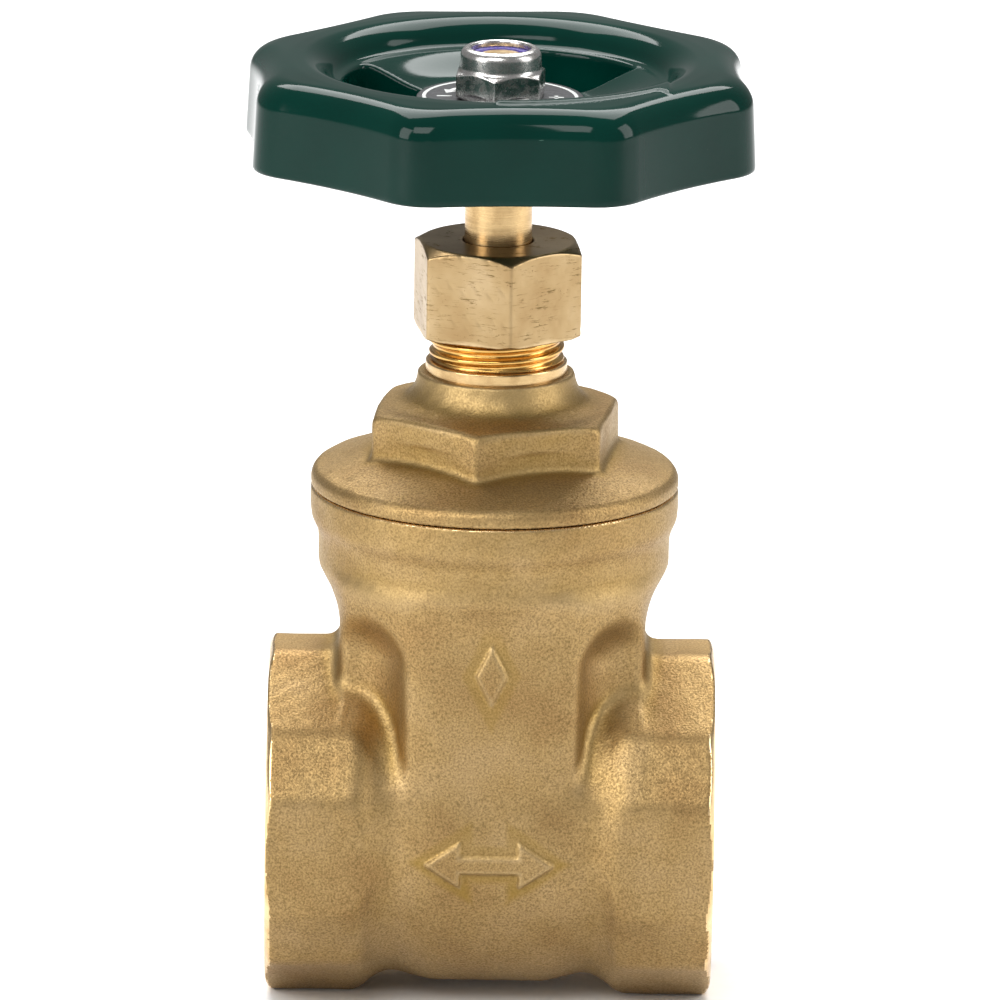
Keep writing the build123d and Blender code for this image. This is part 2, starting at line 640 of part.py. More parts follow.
with BuildPart() as lock_nut_insert:
    with BuildSketch(Plane.XY.offset(INSERT_BOTTOM_Z)):
        Circle(INSERT_OUTER_RADIUS)
        Circle(STEM_END_RADIUS, mode=Mode.SUBTRACT)
    extrude(amount=INSERT_TOP_Z - INSERT_BOTTOM_Z)
save(lock_nut_insert, "lock_nut_insert")
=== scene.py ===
import json
from math import cos, pi, radians, sin

import bpy
import numpy as np
from mathutils import Matrix, Vector


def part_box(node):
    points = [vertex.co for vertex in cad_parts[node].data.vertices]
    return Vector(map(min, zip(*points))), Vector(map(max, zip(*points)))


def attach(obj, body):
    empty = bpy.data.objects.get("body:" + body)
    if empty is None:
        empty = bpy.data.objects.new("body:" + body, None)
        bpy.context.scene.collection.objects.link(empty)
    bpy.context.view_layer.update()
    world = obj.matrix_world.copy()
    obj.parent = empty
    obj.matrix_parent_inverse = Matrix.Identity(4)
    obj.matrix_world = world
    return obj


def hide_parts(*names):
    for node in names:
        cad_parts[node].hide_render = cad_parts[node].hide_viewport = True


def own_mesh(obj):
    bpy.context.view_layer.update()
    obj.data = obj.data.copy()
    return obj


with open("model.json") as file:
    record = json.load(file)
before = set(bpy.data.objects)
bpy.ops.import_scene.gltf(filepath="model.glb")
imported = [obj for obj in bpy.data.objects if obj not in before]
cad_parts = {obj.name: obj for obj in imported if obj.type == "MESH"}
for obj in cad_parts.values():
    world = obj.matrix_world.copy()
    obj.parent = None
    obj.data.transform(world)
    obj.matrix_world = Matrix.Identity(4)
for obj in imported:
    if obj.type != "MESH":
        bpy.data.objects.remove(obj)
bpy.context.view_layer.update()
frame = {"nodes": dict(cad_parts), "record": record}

# Sizes are in millimetres, heights from the surface the valve stands on. Those that the frame
# holds are read from it; the others are details that the CAD solids leave out.
MM = 0.001


def box_mm(node):
    """Lowest and highest corner of a CAD node, in millimetres."""
    low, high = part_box(node)
    return np.array(low) / MM, np.array(high) / MM


def mount_mm(name):
    """Place of one of the record's mounts, in millimetres."""
    for mount in frame["record"]["mounts"]:
        if mount["name"] == name:
            return np.array(mount["pos_m"]) / MM, mount["dims"]
    raise ValueError(name)


BODY_LOW, BODY_HIGH = box_mm("valve_body")
BONNET_LOW, BONNET_HIGH = box_mm("bonnet")
GLAND_LOW, GLAND_HIGH = box_mm("gland_nut")
WHEEL_LOW, WHEEL_HIGH = box_mm("handwheel")
PLATE_LOW, PLATE_HIGH = box_mm("nameplate")
NUT_LOW, NUT_HIGH = box_mm("lock_nut")
INSERT_LOW, INSERT_HIGH = box_mm("lock_nut_insert")
STEM_LOW, STEM_HIGH = box_mm("stem")
PORT_PLACE, PORT_DIMS = mount_mm("port_right")

PORT_Z = PORT_PLACE[2]
HALF_LENGTH = BODY_HIGH[0]
SEAM_Z = BODY_HIGH[2]
RIM_RADIUS = BODY_HIGH[1]


# ---------------------------------------------------------------- fields and meshes

def blend_min(a, b, width):
    """Union of two fields with a soft fillet about as wide as width."""
    share = np.clip(0.5 + 0.5 * (b - a) / width, 0, 1)
    return b + (a - b) * share - width * share * (1 - share)


def blend_max(a, b, width):
    """Intersection of two fields with a softened edge."""
    return -blend_min(-a, -b, width)


def round_max(a, b, radius):
    """Intersection of two fields with a true round of that radius."""
    corner = np.hypot(np.maximum(a + radius, 0), np.maximum(b + radius, 0))
    return np.minimum(np.maximum(a, b), -radius) + corner


def ramp(value, start, end):
    """Smooth step from 0 at start to 1 at end."""
    share = np.clip((value - start) / (end - start), 0, 1)
    return share * share * (3 - 2 * share)


def polygon_distance(u, v, apothem, turn, count, softness):
    """Distance to a regular polygon whose first flat faces the angle turn."""
    field = None
    for number in range(count):
        angle = turn + 2 * pi * number / count
        flat = u * cos(angle) + v * sin(angle) - apothem
        field = flat if field is None else blend_max(field, flat, softness)
    return field


def casting_wave(x, y, z):
    """Slow unevenness of a sand-cast skin, at most about one unit high."""
    first = np.sin(0.71 * x + 0.43 * z) * np.sin(0.63 * y - 0.37 * z + 1.3)
    second = np.sin(1.9 * x - 1.1 * y + 0.8) * np.sin(1.7 * z + 0.9 * y)
    return 0.6 * first + 0.4 * second


def surface_nets(samples, low, step):
    """Closed quads on the zero surface of a sampled field, which is negative inside."""
    shape = np.array(samples.shape)
    points, cells, flips = [], [], []
    for axis in range(3):
        near = [slice(None)] * 3
        far = [slice(None)] * 3
        near[axis] = slice(0, -1)
        far[axis] = slice(1, None)
        crossing = (samples[tuple(near)] < 0) != (samples[tuple(far)] < 0)
        start = np.argwhere(crossing)
        end = start.copy()
        end[:, axis] += 1
        value = samples[tuple(start.T)].astype(float)
        other = samples[tuple(end.T)].astype(float)
        place = start.astype(float)
        place[:, axis] += value / (value - other)
        first, second = (axis + 1) % 3, (axis + 2) % 3
        around = []
        for shift in ((-1, -1), (0, -1), (0, 0), (-1, 0)):
            cell = start.copy()
            cell[:, first] += shift[0]
            cell[:, second] += shift[1]
            around.append((cell[:, 0] * shape[1] + cell[:, 1]) * shape[2] + cell[:, 2])
        points.append(place)
        cells.append(np.stack(around, axis=1))
        flips.append(value > 0)
    points = np.concatenate(points)
    cells = np.concatenate(cells)
    flips = np.concatenate(flips)
    _, corner = np.unique(cells, return_inverse=True)
    corner = corner.reshape(cells.shape)
    count = np.bincount(corner.ravel())
    vertices = np.empty((len(count), 3))
    for axis in range(3):
        total = np.bincount(corner.ravel(), weights=np.repeat(points[:, axis], 4))
        vertices[:, axis] = low[axis] + step * total / count
    quads = corner.copy()
    quads[flips] = quads[flips][:, ::-1]
    return vertices, quads


def settle(vertices, field, step, rounds=3):
    """Moves vertices onto the field's zero surface."""
    reach = 0.05
    for _ in range(rounds):
        value = field(*vertices.T)
        slope = np.empty_like(vertices)
        for axis in range(3):
            shift = np.zeros(3)
            shift[axis] = reach
            ahead = field(*(vertices + shift).T)
            behind = field(*(vertices - shift).T)
            slope[:, axis] = (ahead - behind) / (2 * reach)
        strength = np.maximum((slope**2).sum(axis=1), 0.05)
        move = (value / strength)[:, None] * slope
        length = np.maximum(np.linalg.norm(move, axis=1), 1e-9)
        move *= np.minimum(1, 0.3 * step / length)[:, None]
        vertices = vertices - move
    return vertices


def add_mesh(name, vertices, faces, materials, pick=None):
    """A smooth-shaded object from millimetre vertices; pick gives each face's material index."""
    mesh = bpy.data.meshes.new(name)
    corners = [list(map(int, face)) for face in faces]
    mesh.from_pydata((np.asarray(vertices) * MM).tolist(), [], corners)
    for material in materials:
        mesh.materials.append(material)
    mesh.polygons.foreach_set("use_smooth", np.ones(len(mesh.polygons), dtype=bool))
    if pick is not None:
        centres = np.empty(len(mesh.polygons) * 3)
        normals = np.empty(len(mesh.polygons) * 3)
        mesh.polygons.foreach_get("center", centres)
        mesh.polygons.foreach_get("normal", normals)
        index = pick(centres.reshape(-1, 3) / MM, normals.reshape(-1, 3))
        mesh.polygons.foreach_set("material_index", index.astype(np.int32))
    mesh.update()
    piece = bpy.data.objects.new(name, mesh)
    bpy.context.scene.collection.objects.link(piece)
    return piece


def field_mesh(name, field, low, high, step, materials, pick=None):
    """A piece whose surface is where field(x, y, z) is zero."""
    low = np.array(low, float) - 1.5 * step
    counts = np.ceil((np.array(high, float) + 1.5 * step - low) / step).astype(int) + 1
    axes = [low[axis] + step * np.arange(counts[axis]) for axis in range(3)]
    x, y, z = np.meshgrid(*axes, indexing="ij", sparse=True)
    samples = np.broadcast_to(field(x, y, z), tuple(counts))
    vertices, quads = surface_nets(samples, low, step)
    vertices = settle(vertices, field, step)
    piece = add_mesh(name, vertices, quads, materials, pick)
    normals = np.empty(len(vertices) * 3)
    piece.data.vertices.foreach_get("normal", normals)
    normals = normals.reshape(-1, 3)
    # How hollow the surface is around each vertex, which the cast brass uses as the mask for
    # painted shade in hollows, and how sharp an edge it lies on
    for label, reach, sign in (("hollow_shade", 1.8, 1), ("edge", 0.5, -1)):
        value = 1 - sign * field(*(vertices + sign * reach * normals).T) / reach
        layer = piece.data.attributes.new(label, "FLOAT", "POINT")
        layer.data.foreach_set("value", np.clip(value, 0, 1).astype(np.float32))
    return piece


def lathe(profile, segments, shape=None):
    """Vertices and quads of a closed (radius, height) outline turned about Z."""
    radius = np.array([point[0] for point in profile])
    height = np.array([point[1] for point in profile])
    angle = 2 * pi * np.arange(segments) / segments
    ring, turn = np.meshgrid(np.arange(len(profile)), angle, indexing="ij")
    reach = radius[ring]
    if shape is not None:
        reach = shape(reach, height[ring], turn)
    grid = np.stack([reach * np.cos(turn), reach * np.sin(turn), height[ring]], axis=-1)
    row = np.arange(len(profile))[:, None]
    column = np.arange(segments)[None, :]
    row_after = (row + 1) % len(profile)
    column_after = (column + 1) % segments
    quads = np.stack(
        [
            row * segments + column,
            row * segments + column_after,
            row_after * segments + column_after,
            row_after * segments + column,
        ],
        axis=-1,
    )
    return grid.reshape(-1, 3), quads.reshape(-1, 4)


def along(start, end, spacing):
    """Points from start to end, start included and end left out, no further apart than spacing."""
    start, end = np.array(start, float), np.array(end, float)
    count = max(1, int(np.ceil(np.linalg.norm(end - start) / spacing)))
    return [tuple(start + (end - start) * number / count) for number in range(count)]


def outline(corners, spacing):
    """A closed outline through the corners, with points no further apart than spacing."""
    points = []
    for number, corner in enumerate(corners):
        points += along(corner, corners[(number + 1) % len(corners)], spacing)
    return points


def groove_depth(height, angle, pitch, crest, hand=1):
    """Thread form from 0 on the crest to 1 at the root, for a pitch in millimetres."""
    phase = (height / pitch - hand * angle / (2 * pi)) % 1
    from_crest = np.minimum(phase, 1 - phase)
    return np.clip((from_crest - crest / 2) / (0.5 - crest), 0, 1)


# ---------------------------------------------------------------- materials

class Nodes:
    """Short names for building one material's node tree."""

    def __init__(self, name):
        self.material = bpy.data.materials.new(name)
        self.material.use_nodes = True
        self.tree = self.material.node_tree
        self.shader = self.tree.nodes["Principled BSDF"]
        self.place = self.add("ShaderNodeTexCoord").outputs["Object"]

    def add(self, kind, **values):
        node = self.tree.nodes.new(kind)
        for key, value in values.items():
            setattr(node, key, value)
        return node

    def link(self, source, target):
        self.tree.links.new(source, target)

    def stretch(self, scale):
        """Object coordinates, in metres, scaled on each axis."""
        node = self.add("ShaderNodeMapping")
        node.inputs["Scale"].default_value = scale
        self.link(self.place, node.inputs["Vector"])
        return node.outputs["Vector"]

    def noise(self, size, detail=2.0, vector=None, roughness=0.5):
        """Noise whose grains are about size millimetres across."""
        node = self.add("ShaderNodeTexNoise")
        node.inputs["Scale"].default_value = 1 / (size * MM)
        node.inputs["Detail"].default_value = detail
        node.inputs["Roughness"].default_value = roughness
        self.link(vector or self.place, node.inputs["Vector"])
        return node.outputs["Fac"]

    def curve(self, value, stops):
        """Maps a value through a list of (position, grey or colour) stops."""
        node = self.add("ShaderNodeValToRGB")
        ramp_stops = node.color_ramp.elements
        while len(ramp_stops) < len(stops):
            ramp_stops.new(0.5)
        for element, (position, colour) in zip(ramp_stops, stops):
            element.position = position
            if isinstance(colour, (int, float)):
                colour = (colour, colour, colour)
            element.color = (*colour, 1)
        self.link(value, node.inputs["Fac"])
        return node.outputs["Color"]

    def mix(self, share, first, second, mode="MIX"):
        node = self.add("ShaderNodeMix", data_type="RGBA", blend_type=mode)
        for socket, value in ((0, share), (6, first), (7, second)):
            if isinstance(value, bpy.types.NodeSocket):
                self.link(value, node.inputs[socket])
            elif socket == 0:
                node.inputs[socket].default_value = value
            else:
                node.inputs[socket].default_value = (*value, 1)
        return node.outputs[2]

    def maths(self, operation, first, second):
        node = self.add("ShaderNodeMath", operation=operation)
        for socket, value in enumerate((first, second)):
            if isinstance(value, bpy.types.NodeSocket):
                self.link(value, node.inputs[socket])
            else:
                node.inputs[socket].default_value = value
        return node.outputs[0]

    def bump(self, height, strength, depth, normal=None):
        """Bump whose full height is depth millimetres."""
        node = self.add("ShaderNodeBump")
        node.inputs["Strength"].default_value = strength
        node.inputs["Distance"].default_value = depth * MM
        self.link(height, node.inputs["Height"])
        if normal is not None:
            self.link(normal, node.inputs["Normal"])
        return node.outputs["Normal"]

    def layer(self, label):
        """A number stored on the mesh: hollowness (the mask for painted shade in hollows) or edge,
        both 0 where the surface is flat.
        """
        return self.add("ShaderNodeAttribute", attribute_name=label).outputs["Fac"]

    def set(self, **values):
        """Sets or links the shader's sockets; underscores stand for spaces."""
        for key, value in values.items():
            socket = self.shader.inputs[key.replace("_", " ")]
            if isinstance(value, bpy.types.NodeSocket):
                self.link(value, socket)
            elif isinstance(value, tuple):
                socket.default_value = (*value, 1)
            else:
                socket.default_value = value


def cast_brass():
    """Shot-blasted brass casting: fine grain, painted shade that darkens and yellows the hollows,
    worn pale edges.
    """
    nodes = Nodes("cast_brass")
    tone = nodes.curve(
        nodes.noise(8, 3),
        [(0.3, (0.325, 0.205, 0.083)), (0.5, (0.375, 0.25, 0.105)), (0.7, (0.41, 0.28, 0.13))],
    )
    grain = nodes.noise(0.26, 2, roughness=0.65)
    speckle = nodes.curve(grain, [(0.3, 0.62), (0.5, 0.95), (0.66, 1.2)])
    colour = nodes.mix(1.0, tone, speckle, "MULTIPLY")
    # Painted shade: hollows are darkened and yellowed as if occluded, standing in for ambient
    # occlusion rather than a colour of the brass
    hollow_shade = nodes.curve(nodes.layer("hollow_shade"), [(0.04, 0.0), (0.55, 0.85)])
    colour = nodes.mix(hollow_shade, colour, (0.30, 0.19, 0.045))
    worn = nodes.curve(nodes.layer("edge"), [(0.08, 0.0), (0.6, 0.55)])
    colour = nodes.mix(worn, colour, (0.56, 0.42, 0.23))
    spots = nodes.curve(nodes.noise(1.9, 4, roughness=0.7), [(0.25, 0.6), (0.30, 0.0)])
    colour = nodes.mix(spots, colour, (0.16, 0.10, 0.035))
    nodes.set(Base_Color=colour, Metallic=1.0)
    nodes.set(Roughness=nodes.curve(grain, [(0.3, 0.60), (0.7, 0.40)]))
    coarse = nodes.bump(nodes.noise(1.1, 2), 0.2, 0.06)
    nodes.set(Normal=nodes.bump(grain, 0.8, 0.07, coarse))
    return nodes.material


def turned_brass(name, colour, roughness, line_size=0.12):
    """Bright brass with fine lines from the lathe, running round the stem's axis."""
    nodes = Nodes(name)
    lines = nodes.noise(line_size, 2, nodes.stretch((0.02, 0.02, 1.0)))
    stain = nodes.curve(nodes.noise(2.2, 3), [(0.35, (0.62, 0.56, 0.5)), (0.55, (1.0, 1.0, 1.0))])
    nodes.set(Base_Color=nodes.mix(0.65, colour, nodes.mix(1.0, colour, stain, "MULTIPLY")))
    nodes.set(Metallic=1.0)
    nodes.set(Roughness=nodes.curve(lines, [(0.3, roughness + 0.1), (0.7, roughness - 0.06)]))
    nodes.set(Normal=nodes.bump(lines, 0.35, 0.02))
    return nodes.material


def machined_face():
    """Bright rings that the lathe leaves on the pipe ends and in their threads."""
    nodes = Nodes("machined_face")
    rings = nodes.noise(0.15, 2, nodes.stretch((1.0, 0.05, 0.05)))
    patch = nodes.curve(nodes.noise(3, 3), [(0.35, (0.62, 0.42, 0.2)), (0.6, (0.82, 0.6, 0.33))])
    nodes.set(Base_Color=patch, Metallic=1.0)
    nodes.set(Roughness=nodes.curve(rings, [(0.3, 0.34), (0.7, 0.2)]))
    nodes.set(Normal=nodes.bump(rings, 0.3, 0.02))
    return nodes.material


def drawn_brass():
    """Gland nut: smooth drawn bar with dirty pits and streaks across the faces."""
    nodes = Nodes("drawn_brass")
    tone = nodes.curve(
        nodes.noise(5, 3),
        [(0.3, (0.34, 0.225, 0.105)), (0.5, (0.40, 0.28, 0.14)), (0.7, (0.46, 0.335, 0.185))],
    )
    streak = nodes.noise(0.30, 5, nodes.stretch((0.12, 0.12, 1.0)), 0.75)
    streaks = nodes.curve(streak, [(0.36, 0.9), (0.45, 0.0)])
    pits = nodes.curve(nodes.noise(0.6, 5, roughness=0.8), [(0.33, 0.9), (0.39, 0.0)])
    area = nodes.curve(nodes.noise(3.4, 2), [(0.42, 1.0), (0.6, 0.15)])
    dirt = nodes.maths("MULTIPLY", nodes.maths("MAXIMUM", streaks, pits), area)
    colour = nodes.mix(dirt, tone, (0.13, 0.08, 0.025))
    worn = nodes.curve(nodes.layer("edge"), [(0.15, 0.0), (0.7, 0.5)])
    nodes.set(Base_Color=nodes.mix(worn, colour, (0.74, 0.56, 0.33)), Metallic=1.0)
    nodes.set(Roughness=nodes.curve(dirt, [(0.0, 0.34), (0.8, 0.6)]))
    nodes.set(Normal=nodes.bump(dirt, -0.5, 0.05, nodes.bump(streak, 0.2, 0.02)))
    return nodes.material


def green_enamel():
    """Thick glossy enamel with a little orange peel and small chips."""
    nodes = Nodes("green_enamel")
    chip = nodes.curve(nodes.noise(0.8, 5, roughness=0.8), [(0.235, 1.0), (0.26, 0.0)])
    lines = nodes.noise(0.5, 3, nodes.stretch((0.14, 0.5, 1.0)), 0.6)
    scratch = nodes.curve(lines, [(0.2, 0.7), (0.235, 0.0)])
    marks = nodes.maths("MAXIMUM", chip, scratch)
    tone = nodes.curve(
        nodes.noise(14, 2),
        [(0.35, (0.0003, 0.019, 0.0135)), (0.65, (0.0003, 0.024, 0.017))],
    )
    nodes.set(Base_Color=nodes.mix(marks, tone, (0.16, 0.30, 0.24)))
    nodes.set(Roughness=nodes.curve(marks, [(0.0, 0.09), (1.0, 0.5)]))
    nodes.set(Normal=nodes.bump(nodes.noise(2.6, 2), 0.12, 0.05))
    nodes.set(IOR=1.52, Specular_IOR_Level=0.16)
    return nodes.material


def nut_steel():
    """Bright plated steel, darker and stained on the flats."""
    nodes = Nodes("nut_steel")
    lines = nodes.noise(0.2, 3, nodes.stretch((0.1, 0.1, 1.0)))
    stain = nodes.noise(0.9, 4, roughness=0.65)
    tone = nodes.curve(
        stain,
        [(0.28, (0.25, 0.23, 0.21)), (0.42, (0.55, 0.53, 0.51)), (0.65, (0.70, 0.69, 0.68))],
    )
    nodes.set(Base_Color=tone, Metallic=1.0)
    nodes.set(Roughness=nodes.curve(stain, [(0.3, 0.36), (0.6, 0.2)]))
    nodes.set(Normal=nodes.bump(lines, 0.25, 0.02))
    return nodes.material


def plain_nylon():
    """Coloured nylon locking ring, slightly marked by the thread."""
    nodes = Nodes("nut_nylon")
    marks = nodes.noise(0.25, 3)
    tone = nodes.curve(marks, [(0.35, (0.035, 0.02, 0.17)), (0.65, (0.09, 0.06, 0.36))])
    nodes.set(Base_Color=tone)
    nodes.set(Roughness=nodes.curve(marks, [(0.3, 0.45), (0.7, 0.28)]))
    nodes.set(Normal=nodes.bump(marks, 0.3, 0.03), IOR=1.53)
    return nodes.material


def printed(name, dark, light, roughness):
    """Printed metal plate with a fine tooth and faint rub marks."""
    nodes = Nodes(name)
    rub = nodes.noise(0.7, 4, roughness=0.7)
    nodes.set(Base_Color=nodes.curve(rub, [(0.35, dark), (0.65, light)]))
    nodes.set(Roughness=nodes.curve(rub, [(0.3, roughness + 0.1), (0.7, roughness - 0.08)]))
    nodes.set(Normal=nodes.bump(nodes.noise(0.12, 2), 0.2, 0.01), IOR=1.5)
    return nodes.material


def soft_seal(name, dark, light, size, roughness, depth):
    """Gasket board, packing cord or washer plastic: a mottled matt surface."""
    nodes = Nodes(name)
    mottle = nodes.noise(size, 3, roughness=0.6)
    nodes.set(Base_Color=nodes.curve(mottle, [(0.35, dark), (0.65, light)]))
    nodes.set(Roughness=nodes.curve(mottle, [(0.3, roughness), (0.7, roughness - 0.12)]))
    nodes.set(Normal=nodes.bump(mottle, 0.5, depth), IOR=1.45)
    return nodes.material


def floor_paper():
    """Matt white studio paper with a trace of tooth."""
    nodes = Nodes("floor_paper")
    tooth = nodes.noise(1.5, 2)
    nodes.set(Base_Color=nodes.curve(tooth, [(0.3, 0.90), (0.7, 0.92)]), Roughness=0.9)
    nodes.set(Specular_IOR_Level=0.1)
    return nodes.material


CAST = cast_brass()
MACHINED = machined_face()
DRAWN = drawn_brass()
STEM_BRASS = turned_brass("stem_brass", (0.62, 0.43, 0.21), 0.27)
THREAD_BRASS = turned_brass("thread_brass", (0.70, 0.41, 0.12), 0.2)
INNER_BRASS = turned_brass("inner_brass", (0.72, 0.52, 0.26), 0.35)
ENAMEL = green_enamel()
STEEL = nut_steel()
NYLON = plain_nylon()
PLATE_BLACK = printed("plate_black", (0.02, 0.02, 0.022), (0.045, 0.045, 0.05), 0.38)
PLATE_WHITE = printed("plate_white", (0.6, 0.62, 0.6), (0.8, 0.82, 0.8), 0.45)
GASKET = soft_seal("gasket_board", (0.06, 0.09, 0.06), (0.13, 0.17, 0.12), 0.5, 0.85, 0.04)
PACKING = soft_seal("packing_cord", (0.03, 0.03, 0.03), (0.12, 0.12, 0.11), 0.35, 0.7, 0.06)
WASHER = soft_seal("washer_plastic", (0.72, 0.72, 0.68), (0.86, 0.86, 0.83), 1.2, 0.45, 0.02)


# ---------------------------------------------------------------- valve body

FLAT_APOTHEM = 20.5
FACET_APOTHEM = 21.2
FACE_RADIUS = 20.4
BARREL_RADIUS = 20.0
BARREL_NECK_RADIUS = 18.7
BARREL_TOP_RADIUS = BARREL_RADIUS + 0.2
BARREL_FULL_X = 6
BARREL_NECK_X = 13.0
NECK_HALF_X = 18.25
NECK_HALF_Y = 19.5
NECK_RADIUS = 21.0
SCOOP_RADIUS = 7.5
SCOOP_Y = 17.5
SCOOP_TOP = 43.5
PORT_RADIUS = PORT_DIMS["r_mm"]
PORT_MAJOR_RADIUS = 16.6
PORT_PITCH = 2.309
PORT_DEPTH = 13.0
MOUTH_RADIUS = 16.9
FLOW_RADIUS = 12.0
SEAT_RADIUS = 14.5
SEAT_GAP = 5.53
SEAT_ANGLE = radians(5)
CHAMBER_HALF_X = 8.0
CHAMBER_RADIUS = 16.0
PLUG_BOTTOM = BONNET_LOW[2]
PLUG_BORE = 19.0
GASKET_RADIUS = 20.6
GASKET_Z = 61.6
SEAM_GAP = 0.1
LOZENGE_TOP = 20.0
ARROW_TOP = 20.5
ROOT2 = 2**0.5


def end_blocks(x, y, z):
    """The two hexagon ends with cut-off corners and sloped inner sides."""
    up = z - PORT_Z
    radius = np.hypot(y, up)
    flats = polygon_distance(y, up, FLAT_APOTHEM, 0, 6, 0.5)
    facets = polygon_distance(y, up, FACET_APOTHEM, pi / 6, 6, 0.5)
    prism = blend_max(flats, facets, 0.6)
    inner_side = ((radius - 22.4) - (np.abs(x) - 16.6)) / ROOT2
    prism = blend_max(prism, inner_side, 0.9)
    return prism


def neck_column(x, y, z):
    """Flat-sided neck with a scoop down each corner, fading out under the rim."""
    section = round_max(np.abs(x) - NECK_HALF_X, np.abs(y) - NECK_HALF_Y, 2.5)
    section = round_max(section, np.hypot(x, y) - NECK_RADIUS, 1.0)
    across = np.abs(x) - NECK_HALF_X
    inward = np.abs(y) - SCOOP_Y
    above = np.maximum(z - SCOOP_TOP, 0) * 1.15
    scoop = SCOOP_RADIUS - np.sqrt(across**2 + inward**2 + above**2)
    section = blend_max(section, scoop, 1.6)
    return blend_max(blend_max(section, z - 52.0, 1.5), PORT_Z - 1 - z, 2.0)


def rim(x, y, z):
    """Round top of the body: a cone, a plain band, a soft step and the rim."""
    radius = np.hypot(x, y)
    heights = [44.0, 48.6, 52.4, 53.2, 56.2, 57.0, 58.4, 59.3, 63.0]
    widths = [14.8, 18.1, 20.85, 21.0, 21.0, 21.1, 21.85, 22.0, 22.0]
    reach = 0
    for shift in (-0.5, 0, 0.5):
        reach = reach + np.interp(z + shift, heights, widths) / 3
    wall = (radius - np.minimum(reach, RIM_RADIUS)) * 0.85
    return np.maximum(wall, 44.5 - z)


def lozenge(x, z):
    """Raised mark standing for the size."""
    return (np.abs(x) * 2 + np.abs(z - 43.7) - 3.7) / 5**0.5


def flow_arrow(x, z):
    """Raised double-headed arrow."""
    along_x = np.abs(x)
    across = np.abs(z - 20.5)
    bar = np.maximum(across - 1.0, along_x - 5)
    head = np.maximum((along_x - 7.7) * 0.56 + across * 0.83, 3.5 - along_x)
    return np.minimum(bar, head)


def body_field(x, y, z):
    up = z - PORT_Z
    radius = np.hypot(y, up)
    # The barrel narrows towards the ends below the port's axis, and stays full above it
    waist = ramp(np.abs(x), BARREL_FULL_X, BARREL_NECK_X)
    reach = BARREL_NECK_RADIUS + (BARREL_RADIUS - BARREL_NECK_RADIUS) * (1 - waist)
    reach = reach + (BARREL_TOP_RADIUS - reach) * 0.9 * ramp(up, 0, 8)
    barrel = np.maximum(radius - reach, np.abs(x) - 17)
    body = blend_min(barrel, neck_column(x, y, z), 1.3)
    body = blend_min(body, rim(x, y, z), 2.6)
    body = blend_min(body, end_blocks(x, y, z), 1.8)
    body = body + 0.045 * casting_wave(x, y, z)
    # Raised marks on the marked face
    for mark, top in ((lozenge(x, z), LOZENGE_TOP), (flow_arrow(x, z), ARROW_TOP)):
        raised = blend_max(mark, -y - top, 0.35)
        raised = np.maximum(raised, 18 + y)
        body = blend_min(body, raised, 0.45)
    # Turned ends, mouths and threads
    face = np.abs(x) - HALF_LENGTH
    body = round_max(body, face, 0.18)
    chamfer = face * cos(pi / 6) + (radius - FACE_RADIUS) * sin(pi / 6)
    chamfer = np.where(face > -3, chamfer, -2)
    body = round_max(body, chamfer, 0.15)
    body = round_max(body, z - (SEAM_Z - SEAM_GAP), 0.25)
    depth = HALF_LENGTH - np.abs(x)
    form = 1 - groove_depth(x, np.arctan2(up, y), PORT_PITCH, 0.1)
    runout = ramp(depth, PORT_DEPTH, PORT_DEPTH - 3)
    bore = radius - (PORT_RADIUS + (PORT_MAJOR_RADIUS - PORT_RADIUS) * form * runout)
    body = round_max(body, -np.maximum(bore * 0.8, depth - PORT_DEPTH), 0.1)
    mouth = (radius - MOUTH_RADIUS + depth) / ROOT2
    body = round_max(body, -np.maximum(mouth, depth - 2), 0.1)
    body = np.maximum(body, -(radius - FLOW_RADIUS))
    # Chamber for the wedge, less the two seats
    hall = np.where(up > 0, np.abs(y) - CHAMBER_RADIUS, radius - CHAMBER_RADIUS)
    hall = np.maximum(hall, np.maximum(np.abs(x) - CHAMBER_HALF_X, z - PLUG_BOTTOM - 1))
    behind_seat = (SEAT_GAP - np.abs(x)) * cos(SEAT_ANGLE) + up * sin(SEAT_ANGLE)
    seat = np.maximum(radius - SEAT_RADIUS, behind_seat)
    body = np.maximum(body, -np.maximum(hall, -seat))
    # Bore for the bonnet and recess for the gasket
    centre = np.hypot(x, y)
    body = np.maximum(body, -np.maximum(centre - PLUG_BORE, PLUG_BOTTOM - z))
    body = np.maximum(body, -np.maximum(centre - GASKET_RADIUS, GASKET_Z - z))
    # Guide ribs
    rib = np.maximum(np.abs(x) - 1.5, np.maximum(13.2 - np.abs(y), np.abs(y) - 16.5))
    rib = np.maximum(rib, np.maximum(19 - z, z - 53))
    return np.minimum(body, rib)


def body_faces(centres, normals):
    """1 for the turned ends and threads, 0 for the cast skin."""
    radius = np.hypot(centres[:, 1], centres[:, 2] - PORT_Z)
    outer = np.abs(centres[:, 0]) - HALF_LENGTH
    turned = (outer * cos(pi / 6) + (radius - FACE_RADIUS) * sin(pi / 6)) > -0.12
    turned &= outer > -3
    turned |= outer > -0.12
    turned |= (radius < 17.2) & (np.abs(centres[:, 0]) > HALF_LENGTH - PORT_DEPTH - 0.2)
    turned |= (radius < SEAT_RADIUS + 0.2) & (np.abs(centres[:, 0]) < CHAMBER_HALF_X)
    turned |= centres[:, 2] > SEAM_Z - SEAM_GAP - 0.15
    return turned.astype(int)


body = field_mesh("body_casting", body_field, BODY_LOW, BODY_HIGH, 0.34,
                  [CAST, MACHINED], body_faces)
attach(body, "valve_body")
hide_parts("valve_body")


# ---------------------------------------------------------------- bonnet

